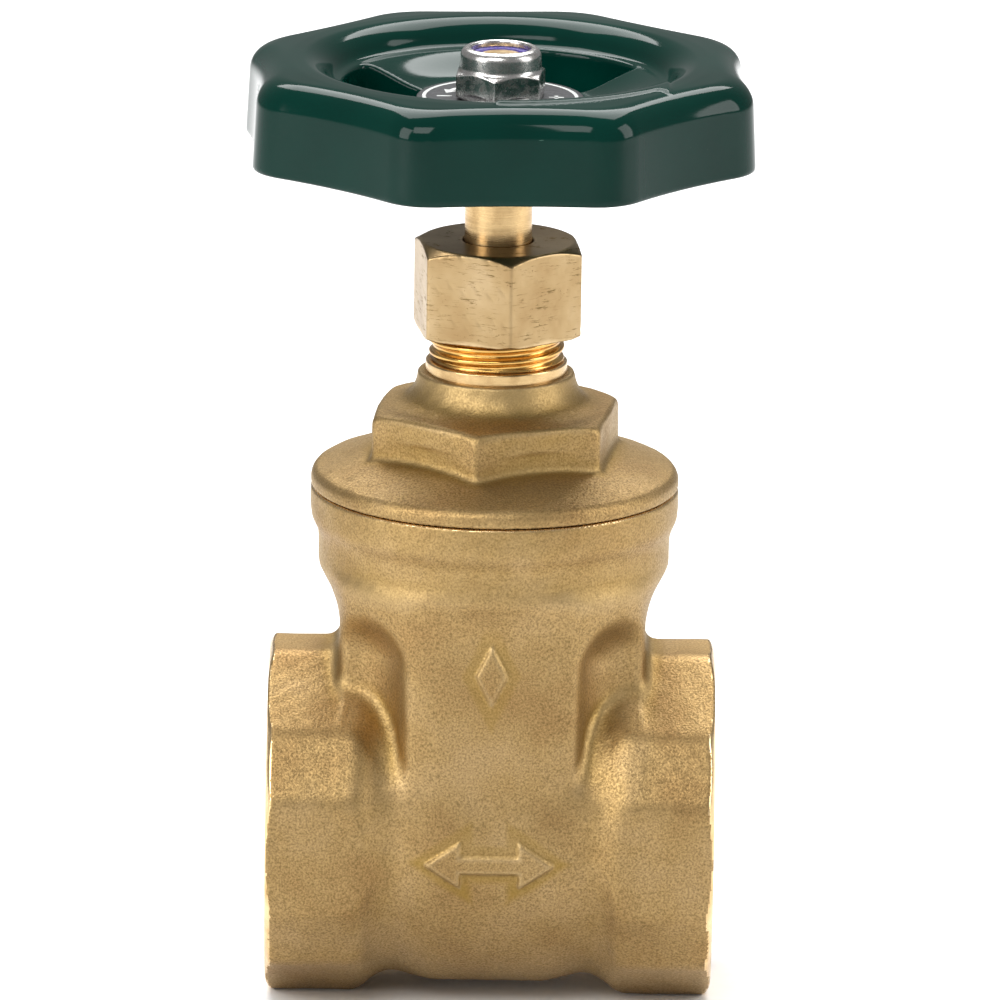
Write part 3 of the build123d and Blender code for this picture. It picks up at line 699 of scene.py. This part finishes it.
HEX_TOP_Z = 72.3
HEX_APOTHEM = 13.77
HEX_TURN = radians(21.7 + 30)
GLAND_NECK_RADIUS = 9.1
GLAND_NECK_Z = 76.4
COLLAR_RADIUS = 8.45
COLLAR_TOP_Z = 77.8
THREAD_RADIUS = 8.1
THREAD_PITCH = 1.5
THREAD_DEPTH = 0.55
BOX_RADIUS = 6.0
BOX_FLOOR_Z = 73.2
STEM_BORE = 4.56
PLUG_RADIUS = 18.95
CAVITY_RADIUS = 15.5
CAVITY_TOP_Z = 64.6
THROAT_RADIUS = 8.5
THROAT_TOP_Z = 66.6


def bonnet_field(x, y, z):
    radius = np.hypot(x, y)
    cone = (radius - 21.35) * 0.335 + (z - 64.5) * 0.942
    flange = round_max(radius - RIM_RADIUS + 0.02, cone, 0.9)
    flange = np.maximum(flange, 60 - z)
    hexagon = polygon_distance(x, y, HEX_APOTHEM, HEX_TURN, 6, 0.55)
    crown = (radius - 14.3) * 0.42 + (z - HEX_TOP_Z) * 0.9
    hexagon = blend_max(hexagon, blend_max(z - HEX_TOP_Z, crown, 0.5), 0.75)
    hexagon = np.maximum(hexagon, 60 - z)
    bonnet = blend_min(flange, hexagon, 0.9)
    reach = GLAND_NECK_RADIUS + 4.2 * np.exp(-np.maximum(z - 71.9, 0) / 1.45)
    flare = np.maximum((radius - reach) * 0.6, 70 - z)
    bonnet = blend_min(bonnet, flare, 1.1)
    bonnet = bonnet + 0.04 * casting_wave(x, y, z)
    bonnet = round_max(bonnet, z - GLAND_NECK_Z, 0.25)
    bonnet = round_max(bonnet, SEAM_Z - z, 0.3)
    plug = round_max(radius - PLUG_RADIUS, PLUG_BOTTOM - z, 0.3)
    bonnet = np.minimum(bonnet, np.maximum(plug, z - SEAM_Z - 0.5))
    cavity_roof = (radius - THROAT_RADIUS) * 0.4 + (z - CAVITY_TOP_Z) * 0.9
    cavity = np.maximum(radius - CAVITY_RADIUS, cavity_roof)
    throat = np.maximum(radius - THROAT_RADIUS, z - THROAT_TOP_Z)
    bonnet = np.maximum(bonnet, -np.minimum(cavity, throat))
    bonnet = np.maximum(bonnet, -(radius - STEM_BORE))
    return np.maximum(bonnet, -np.maximum(radius - BOX_RADIUS, BOX_FLOOR_Z - z))


def gland_neck():
    """Turned collar and the gland nut's thread, above the casting."""
    top = BONNET_HIGH[2]
    thread_start = COLLAR_TOP_Z + 0.3
    corners = [
        (BOX_RADIUS, GLAND_NECK_Z - 0.2),
        (COLLAR_RADIUS, GLAND_NECK_Z - 0.2),
        (COLLAR_RADIUS, COLLAR_TOP_Z - 0.15),
        (COLLAR_RADIUS - 0.15, COLLAR_TOP_Z),
        (THREAD_RADIUS - THREAD_DEPTH, COLLAR_TOP_Z),
        (THREAD_RADIUS, thread_start),
        (THREAD_RADIUS, top - 0.8),
        (THREAD_RADIUS - 0.8, top),
        (BOX_RADIUS, top),
    ]

    def shape(radius, height, angle):
        cut = THREAD_DEPTH * groove_depth(height, angle, THREAD_PITCH, 0.22)
        threaded = (radius > THREAD_RADIUS - 0.1) & (height > COLLAR_TOP_Z + 0.05)
        return np.where(threaded, radius - cut, radius)

    return lathe(outline(corners, 0.12), 128, shape)


bonnet_top = (BONNET_HIGH[0], BONNET_HIGH[1], GLAND_NECK_Z)
bonnet = field_mesh("bonnet_casting", bonnet_field, BONNET_LOW, bonnet_top, 0.3, [CAST])
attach(bonnet, "valve_body")
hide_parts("bonnet")

neck = add_mesh("bonnet_gland_thread", *gland_neck(), [THREAD_BRASS, STEM_BRASS],
                lambda centres, normals: (centres[:, 2] < COLLAR_TOP_Z).astype(int))
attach(neck, "valve_body")


# ---------------------------------------------------------------- gland nut

NUT_TURN = radians(38.9 + 30)
NUT_APOTHEM = 9.31


def gland_nut_field(x, y, z):
    radius = np.hypot(x, y)
    nut = polygon_distance(x, y, NUT_APOTHEM, NUT_TURN, 6, 0.22)
    top = z - GLAND_HIGH[2]
    crown = top * cos(pi / 6) + (radius - 9.15) * sin(pi / 6)
    foot = (GLAND_LOW[2] - z) * 0.9 + (radius - 10.0) * 0.43
    dents = np.sin(3.1 * x + 1.7 * z) * np.sin(2.7 * y - 2.3 * z) * np.sin(1.3 * x - 1.9 * y + z)
    nut = nut + 0.05 * np.maximum(dents - 0.25, 0)
    nut = round_max(nut, round_max(crown, top, 0.1), 0.1)
    nut = round_max(nut, np.maximum(GLAND_LOW[2] - z, foot), 0.12)
    nut = round_max(nut, 4.25 - radius, 0.12)
    bore = np.maximum(radius - 8.15, z - 90.2)
    nut = np.maximum(nut, -bore)
    entry = (radius - 8.9) * 0.7 + (z - GLAND_LOW[2]) * 0.7
    return np.maximum(nut, -entry)


nut = field_mesh("gland_nut_hex", gland_nut_field, GLAND_LOW, GLAND_HIGH, 0.2, [DRAWN])
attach(nut, "gland_nut")
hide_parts("gland_nut")


# ---------------------------------------------------------------- stem

STEM_RADIUS = 4.02
SHOULDER_Z = WHEEL_LOW[2]
STEM_THREAD_RADIUS = 4.5
STEM_COLLAR_RADIUS = STEM_HIGH[0]
COLLAR_LOW_Z = 73.25
COLLAR_HIGH_Z = 75.65
STEM_PITCH = 3.0
END_RADIUS = 2.95
END_PITCH = 1.0
SQUARE_TOP_Z = 109.2


def stem_shape(radius, height, angle):
    """Left-hand lifting thread below, a square for the wheel, and the lock nut's thread above."""
    lift = 0.7 * groove_depth(height, angle, STEM_PITCH, 0.35, -1)
    lower = (height > STEM_LOW[2] + 1.2) & (height < 66.5) & (radius > STEM_THREAD_RADIUS - 0.1)
    radius = np.where(lower, radius - lift, radius)
    flat = 3.0 / np.maximum(np.abs(np.cos(angle)), np.abs(np.sin(angle)))
    square = (height > SHOULDER_Z + 0.05) & (height < SQUARE_TOP_Z + 0.01) & (radius > END_RADIUS)
    radius = np.where(square, np.minimum(radius, flat), radius)
    fine = 0.3 * groove_depth(height, angle, END_PITCH, 0.15)
    upper = (height > SQUARE_TOP_Z + 0.1) & (height < STEM_HIGH[2] - 0.6)
    upper &= radius > END_RADIUS - 0.1
    return np.where(upper, radius - fine, radius)


def stem_outline():
    low, top = STEM_LOW[2], STEM_HIGH[2]
    corners = [
        (0.02, low),
        (STEM_THREAD_RADIUS - 1, low),
        (STEM_THREAD_RADIUS, low + 1),
        (STEM_THREAD_RADIUS, COLLAR_LOW_Z),
        (STEM_COLLAR_RADIUS, COLLAR_LOW_Z),
        (STEM_COLLAR_RADIUS, COLLAR_HIGH_Z),
        (STEM_RADIUS, COLLAR_HIGH_Z),
        (STEM_RADIUS, SHOULDER_Z - 0.15),
        (STEM_RADIUS - 0.25, SHOULDER_Z),
        (STEM_RADIUS - 0.25, SHOULDER_Z + 0.1),
        (STEM_RADIUS - 0.25, SQUARE_TOP_Z),
        (END_RADIUS, SQUARE_TOP_Z),
        (END_RADIUS, top - 0.5),
        (2.35, top),
        (0.02, top),
    ]
    return outline(corners, 0.16)


stem = add_mesh("stem_turned", *lathe(stem_outline(), 96, stem_shape), [STEM_BRASS])
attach(stem, "stem")
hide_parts("stem")


# ---------------------------------------------------------------- handwheel

WHEEL_TURN = radians(26.0)
WHEEL_SIDES = 8
SIDE_RADIUS = 29.15
SIDE_CURVE = 66.0
CORNER_SOFTNESS = 3.6
DRAFT = 0.045
CREST_RADIUS = 20.6
INNER_RADIUS = 18.9
WALL = 2.2
HUB_RADIUS = 7.0
PLATE_SEAT_Z = PLATE_LOW[2]
WINDOW_INNER = 10.4
WINDOW_OUTER = 18.7
WEB_BOTTOM_Z = 105.2
SPOKES = 3


def wheel_outline(x, y):
    """Distance to the eight-cornered outline with slightly hollow sides."""
    field = None
    for number in range(WHEEL_SIDES):
        angle = WHEEL_TURN + 2 * pi * (number + 0.5) / WHEEL_SIDES
        away_x = x - (SIDE_RADIUS + SIDE_CURVE) * cos(angle)
        away_y = y - (SIDE_RADIUS + SIDE_CURVE) * sin(angle)
        side = SIDE_CURVE - np.hypot(away_x, away_y)
        field = side if field is None else blend_max(field, side, CORNER_SOFTNESS)
    return field


def spoke_angle(x, y):
    """Angle from the middle of the nearest window, from 0 to a sixth of a turn."""
    turn = 2 * pi / SPOKES
    angle = (np.arctan2(y, x) - pi / SPOKES + turn / 2) % turn - turn / 2
    return np.abs(angle)


def turn_arrow(x, y):
    """Raised arc with a head, on the crest of the rim."""
    radius = np.hypot(x, y)
    angle = np.degrees(np.arctan2(y, x))
    middle = 23.0
    band = np.abs(radius - middle) - 1.5
    tail = (-91 - angle) * 0.4
    tip_share = (angle + 40) * 0.4
    bar = np.maximum(np.maximum(band, tail), tip_share)
    slant = np.abs(radius - middle) * 0.8 + tip_share * 0.6 - 2.3
    head = np.maximum(slant, (-41 - angle) * 0.4)
    return np.minimum(bar, head)


def wheel_field(x, y, z):
    radius = np.hypot(x, y)
    side = wheel_outline(x, y) + DRAFT * (z - WHEEL_LOW[2])
    crown = z - (WHEEL_HIGH[2] - 0.02) + 0.05 * np.maximum(radius - 25, 0)
    arrow = turn_arrow(x, y)
    crown = crown - 0.32 * ramp(-arrow, -0.25, 0.25)
    solid = round_max(side, crown, 3.0)
    hollow_wall = CREST_RADIUS - 0.35 + 0.32 * (z - WHEEL_HIGH[2] + 2.5) - radius
    solid = round_max(solid, hollow_wall, 2.6)
    # Channel under the rim
    channel = round_max(side + WALL, z - (WHEEL_HIGH[2] - 2.6), 1.5)
    channel = round_max(channel, INNER_RADIUS + 2.0 - radius, 1.2)
    solid = blend_max(solid, -channel, 0.4)
    # Web with three spokes that rise to the rim
    rise = 2.3 * ramp(radius, WINDOW_INNER, INNER_RADIUS + 1)
    web_top = PLATE_SEAT_Z + rise
    web = np.maximum(radius - (INNER_RADIUS + 1.2), z - web_top)
    web = round_max(web, WEB_BOTTOM_Z - z, 0.3)
    off_window = (spoke_angle(x, y) - pi / 6) * radius
    window = blend_max(off_window, WINDOW_INNER - radius, 1.4)
    window = blend_max(window, radius - WINDOW_OUTER, 1.4)
    web = round_max(web, -window, 0.45)
    pocket = np.maximum(2.0 - off_window, np.maximum(8.8 - radius, radius - 18.0))
    pocket = np.maximum(pocket, z - (web_top - 2.2))
    web = np.maximum(web, -pocket)
    solid = blend_min(solid, web, 1.0)
    hub = round_max(radius - HUB_RADIUS, WHEEL_LOW[2] - z, 0.4)
    hub = np.maximum(hub, z - PLATE_SEAT_Z)
    solid = np.minimum(solid, hub)
    solid = round_max(solid, WHEEL_LOW[2] - z, 0.5)
    square = np.maximum(np.maximum(np.abs(x), np.abs(y)) - 3.0, radius - 3.77)
    return np.maximum(solid, -square)


wheel = field_mesh("handwheel_casting", wheel_field, WHEEL_LOW, WHEEL_HIGH, 0.3, [ENAMEL])
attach(wheel, "stem")
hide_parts("handwheel")


# ---------------------------------------------------------------- nameplate

PLATE_RADIUS = PLATE_HIGH[0]
PLATE_HOLE = 3.2
PRINT_HEIGHT = 0.03


def arc_band(inner, outer, start, end, steps=40):
    """Flat band outline between two radii, angles in degrees."""
    angles = np.radians(np.linspace(start, end, steps))
    rim_points = [(outer * cos(angle), outer * sin(angle)) for angle in angles]
    back = [(inner * cos(angle), inner * sin(angle)) for angle in angles[::-1]]
    return rim_points + back


def arrow_head(radius, angle, width, length, way):
    """Triangle on a circle, pointing the way it turns."""
    tip = angle + way * length
    return [
        ((radius - width) * cos(radians(angle)), (radius - width) * sin(radians(angle))),
        (radius * cos(radians(tip)), radius * sin(radians(tip))),
        ((radius + width) * cos(radians(angle)), (radius + width) * sin(radians(angle))),
    ]


def printed_marks():
    """Ring, two turning arrows, a plus and a minus, as one flat raised mesh."""
    outlines = [arc_band(8.85, 9.3, start, start + 60.0) for start in range(0, 360, 60)]
    for start, way in ((-78, 1), (102, 1)):
        outlines.append(arc_band(6.35, 6.95, start, start + 50))
        outlines.append(arrow_head(6.65, start + 50, 0.95, 14, way))
    for centre, upright in ((0, True), (180, False)):
        x, y = 6.65 * cos(radians(centre)), 6.65 * sin(radians(centre))
        bars = [(0.9, 0.22)] + ([(0.22, 0.9)] if upright else [])
        for half_x, half_y in bars:
            outlines.append([(x - half_x, y - half_y), (x + half_x, y - half_y),
                             (x + half_x, y + half_y), (x - half_x, y + half_y)])
    vertices, faces = [], []
    for points in outlines:
        start, count = len(vertices), len(points)
        vertices += [(*point, PLATE_HIGH[2]) for point in points]
        vertices += [(*point, PLATE_HIGH[2] + PRINT_HEIGHT) for point in points]
        bottom = list(range(start, start + count))
        top = list(range(start + count, start + 2 * count))
        faces.append(bottom[::-1])
        faces.append(top)
        for number in range(count):
            after = (number + 1) % count
            faces.append([bottom[number], bottom[after], top[after], top[number]])
    return vertices, faces


plate_corners = [
    (PLATE_HOLE, PLATE_LOW[2]),
    (PLATE_RADIUS - 0.02, PLATE_LOW[2]),
    (PLATE_RADIUS - 0.02, PLATE_HIGH[2] - 0.12),
    (PLATE_RADIUS - 0.14, PLATE_HIGH[2]),
    (PLATE_HOLE, PLATE_HIGH[2]),
]
plate = add_mesh("nameplate_disc", *lathe(outline(plate_corners, 0.5), 128), [PLATE_BLACK])
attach(plate, "stem")
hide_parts("nameplate")
marks = add_mesh("nameplate_print", *printed_marks(), [PLATE_WHITE])
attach(marks, "stem")


# ---------------------------------------------------------------- lock nut

LOCK_APOTHEM = 5.0
LOCK_TURN = radians(23 + 30)
LOCK_HEX_TOP = NUT_LOW[2] + 3.4
LOCK_MOUTH = 3.55


def lock_nut_field(x, y, z):
    radius = np.hypot(x, y)
    hexagon = polygon_distance(x, y, LOCK_APOTHEM, LOCK_TURN, 6, 0.16)
    shoulder = (z - LOCK_HEX_TOP) * 0.87 + (radius - 5.0) * 0.5
    foot = (NUT_LOW[2] - z) * 0.87 + (radius - 4.9) * 0.5
    hexagon = blend_max(hexagon, shoulder, 0.12)
    hexagon = blend_max(hexagon, foot, 0.1)
    collar = round_max(radius - 4.9 + 0.06 * (z - LOCK_HEX_TOP), z - NUT_HIGH[2], 0.95)
    collar = np.maximum(collar, NUT_LOW[2] + 1 - z)
    nut_field = blend_min(hexagon, collar, 0.35)
    nut_field = round_max(nut_field, NUT_LOW[2] - z, 0.08)
    mouth = np.maximum(radius - LOCK_MOUTH, INSERT_HIGH[2] - z)
    pocket = np.maximum(radius - 4.0, np.maximum(INSERT_LOW[2] - z, z - INSERT_HIGH[2]))
    nut_field = round_max(nut_field, -mouth, 0.3)
    nut_field = np.maximum(nut_field, -pocket)
    return np.maximum(nut_field, 3.0 - radius)


lock = field_mesh("lock_nut_steel", lock_nut_field, NUT_LOW, NUT_HIGH, 0.12, [STEEL])
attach(lock, "stem")
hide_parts("lock_nut")

insert_corners = [
    (END_RADIUS, INSERT_LOW[2]),
    (3.95, INSERT_LOW[2]),
    (3.95, INSERT_HIGH[2]),
    (3.4, INSERT_HIGH[2]),
    (3.1, INSERT_HIGH[2] - 0.15),
    (END_RADIUS, INSERT_HIGH[2] - 0.5),
]
insert = add_mesh("lock_nut_ring", *lathe(outline(insert_corners, 0.15), 96), [NYLON])
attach(insert, "stem")
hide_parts("lock_nut_insert")


# ---------------------------------------------------------------- packing

STRANDS = 9


def packing_ring(node):
    """Square braided cord bent into a ring: rounded corners and slanting strands."""
    low, high = box_mm(node)
    inner, outer = 4.1, high[0] - 0.05
    mid_radius, half = (inner + outer) / 2, (outer - inner) / 2
    mid_z, half_z = (low[2] + high[2]) / 2, (high[2] - low[2]) / 2
    around, across = 120, 24
    vertices = []
    for step in range(around):
        turn = 2 * pi * step / around
        for corner in range(across):
            angle = 2 * pi * corner / across
            square = 1 / (abs(cos(angle)) ** 5 + abs(sin(angle)) ** 5) ** 0.2
            strand = 1 - 0.035 * (1 + sin(STRANDS * 2 * turn + 4 * angle))
            reach = mid_radius + half * square * strand * cos(angle)
            height = mid_z + half_z * square * strand * sin(angle)
            vertices.append((reach * cos(turn), reach * sin(turn), height))
    faces = []
    for step in range(around):
        for corner in range(across):
            after, beside = (step + 1) % around, (corner + 1) % across
            faces.append([step * across + corner, after * across + corner,
                          after * across + beside, step * across + beside])
    return vertices, faces


for level in ("lower", "middle", "upper"):
    node = f"packing_ring_{level}"
    ring = add_mesh(f"packing_cord_{level}", *packing_ring(node), [PACKING])
    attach(ring, "valve_body")
    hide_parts(node)
    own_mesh(ring)


# ---------------------------------------------------------------- carried-over CAD nodes

for node, material in (
    ("bonnet_gasket", GASKET),
    ("wedge_gate", MACHINED),
    ("collar_washer", WASHER),
    ("gland_follower", INNER_BRASS),
):
    slots = frame["nodes"][node].material_slots
    for entry in slots:
        entry.material = material


# ---------------------------------------------------------------- stage, light and camera

# Millimetres, then metres and degrees: a long lens from just above, tipped a little
AIM = Vector((0.67, 0, 60.3)) * MM
ELEVATION = radians(14.7)
DISTANCE = 1.5
ROLL = radians(0.85)
LENS = 451.0


def stage_floor():
    """Large plain floor under the valve."""
    bpy.ops.mesh.primitive_plane_add(size=12, location=(0, 2, 0))
    floor = bpy.context.object
    floor.name = "studio_floor"
    floor.data.materials.append(floor_paper())


def softbox(name, place, size, power):
    """Rectangular light aimed at the middle of the valve."""
    light = bpy.data.lights.new(name, "AREA")
    light.shape = "RECTANGLE"
    light.size, light.size_y = size
    light.energy = power
    lamp = bpy.data.objects.new(name, light)
    lamp.location = place
    lamp.rotation_euler = (AIM - Vector(place)).to_track_quat("-Z", "Y").to_euler()
    bpy.context.scene.collection.objects.link(lamp)


def studio_light():
    softbox("left_softbox", (-0.85, -0.55, 0.45), (0.45, 0.8), 6.5)
    softbox("right_softbox", (0.90, -0.15, 0.45), (0.4, 0.8), 5)
    softbox("top_softbox", (0.0, 0.45, 0.86), (0.9, 0.7), 13)
    softbox("front_fill", (-0.35, -0.95, 1.02), (0.8, 0.6), 9)
    world = bpy.data.worlds.new("studio_world")
    world.use_nodes = True
    background = world.node_tree.nodes["Background"]
    background.inputs["Color"].default_value = (1, 1, 1, 1)
    background.inputs["Strength"].default_value = 0.28
    bpy.context.scene.world = world


def product_camera():
    data = bpy.data.cameras.new("product_camera")
    data.lens = LENS
    data.sensor_width = 36
    data.clip_start = 0.1
    data.clip_end = 50
    camera = bpy.data.objects.new("product_camera", data)
    back = Vector((0, -cos(ELEVATION), sin(ELEVATION))) * DISTANCE
    tilt = Matrix.Rotation(pi / 2 - ELEVATION, 4, "X") @ Matrix.Rotation(ROLL, 4, "Z")
    camera.matrix_world = Matrix.Translation(AIM + back) @ tilt
    bpy.context.scene.collection.objects.link(camera)
    bpy.context.scene.camera = camera


stage_floor()
studio_light()
product_camera()
bpy.context.scene.view_settings.view_transform = "Standard"
